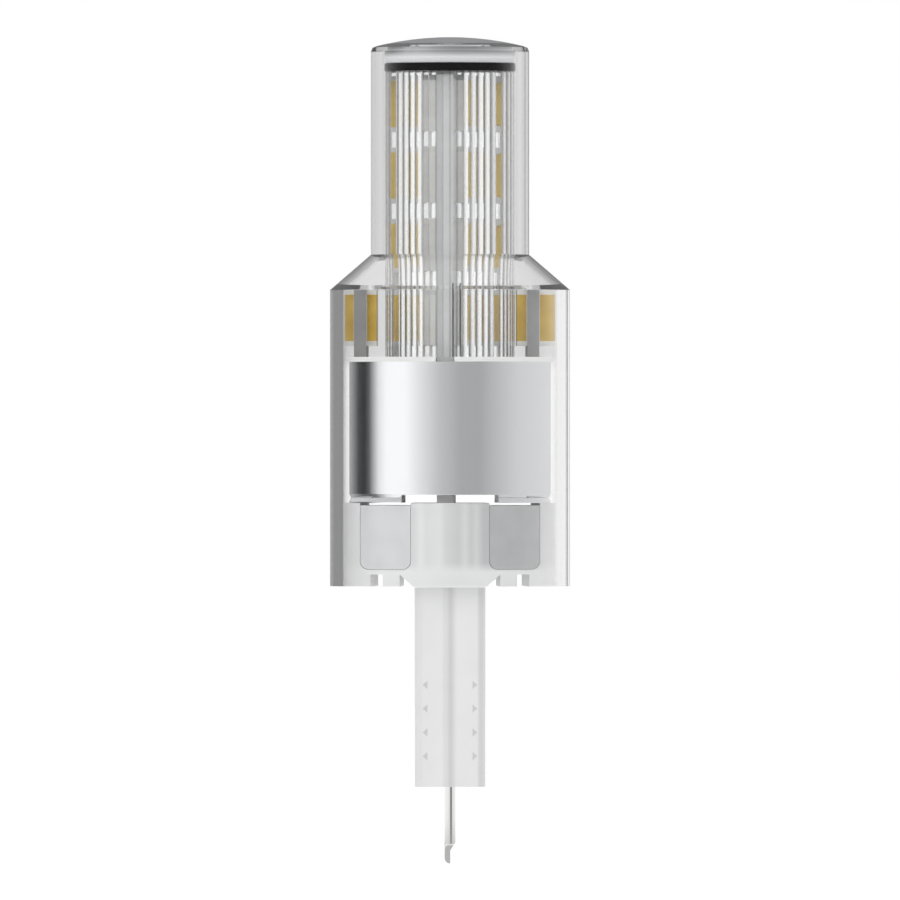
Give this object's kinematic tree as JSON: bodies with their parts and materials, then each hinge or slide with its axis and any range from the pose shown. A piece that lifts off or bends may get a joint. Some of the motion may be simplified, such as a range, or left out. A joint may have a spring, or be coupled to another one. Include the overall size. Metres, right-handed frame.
{
  "type": "led capsule lamp",
  "caption": "Clear stepped capsule lamp with a two-sided LED board in a fluted light tube, a metal sleeve round its driver and a flat plug base with two wire contact loops.",
  "frame": {"origin": "on the lamp's axis at the underside of the barrel, where the plug leaves it", "axes": "+Z along the axis from the plug towards the domed cap; the two contact loops stand apart along Y; the circuit board lies in the YZ plane"},
  "size_m": [0.015, 0.015, 0.0515],
  "materials": {
    "clear_housing": "gloss",
    "top_cap": "satin",
    "cap_gasket": "gloss",
    "fluted_light_tube": "gloss",
    "circuit_board": "satin",
    "reflector_disc": "satin",
    "metal_sleeve": "satin",
    "base_plug": "satin",
    "potting": "satin",
    "contact_wire": "satin",
    "capacitor_can": "satin",
    "driver_mould": "matte",
    "input_capacitor": "satin",
    "resistor": "satin",
    "led_case": "satin",
    "led_phosphor": "satin"
  },
  "bodies": {
    "root": {"clear_housing": "clear_housing", "top_cap": "top_cap", "cap_gasket": "cap_gasket", "fluted_light_tube": "fluted_light_tube", "circuit_board": "circuit_board", "side_board_left": "circuit_board", "side_board_right": "circuit_board", "reflector_disc": "reflector_disc", "metal_sleeve": "metal_sleeve", "base_plug": "base_plug", "potting_left": "potting", "potting_right": "potting", "contact_loop_front": "contact_wire", "contact_loop_rear": "contact_wire", "smoothing_capacitor": "capacitor_can", "bridge_rectifier": "driver_mould", "driver_chip": "driver_mould", "input_capacitor": "input_capacitor", "fuse_resistor": "resistor", "sense_resistor": "resistor", "led_case_left_1a": "led_case", "led_phosphor_left_1a": "led_phosphor", "led_case_left_1b": "led_case", "led_phosphor_left_1b": "led_phosphor", "led_case_left_2a": "led_case", "led_phosphor_left_2a": "led_phosphor", "led_case_left_2b": "led_case", "led_phosphor_left_2b": "led_phosphor", "led_case_left_3a": "led_case", "led_phosphor_left_3a": "led_phosphor", "led_case_left_3b": "led_case", "led_phosphor_left_3b": "led_phosphor", "led_case_left_4a": "led_case", "led_phosphor_left_4a": "led_phosphor", "led_case_left_4b": "led_case", "led_phosphor_left_4b": "led_phosphor", "led_case_side_left_inner": "led_case", "led_phosphor_side_left_inner": "led_phosphor", "led_case_side_left_outer": "led_case", "led_phosphor_side_left_outer": "led_phosphor", "led_case_right_1a": "led_case", "led_phosphor_right_1a": "led_phosphor", "led_case_right_1b": "led_case", "led_phosphor_right_1b": "led_phosphor", "led_case_right_2a": "led_case", "led_phosphor_right_2a": "led_phosphor", "led_case_right_2b": "led_case", "led_phosphor_right_2b": "led_phosphor", "led_case_right_3a": "led_case", "led_phosphor_right_3a": "led_phosphor", "led_case_right_3b": "led_case", "led_phosphor_right_3b": "led_phosphor", "led_case_right_4a": "led_case", "led_phosphor_right_4a": "led_phosphor", "led_case_right_4b": "led_case", "led_phosphor_right_4b": "led_phosphor", "led_case_side_right_inner": "led_case", "led_phosphor_side_right_inner": "led_phosphor", "led_case_side_right_outer": "led_case", "led_phosphor_side_right_outer": "led_phosphor"}
  },
  "joints": []
}
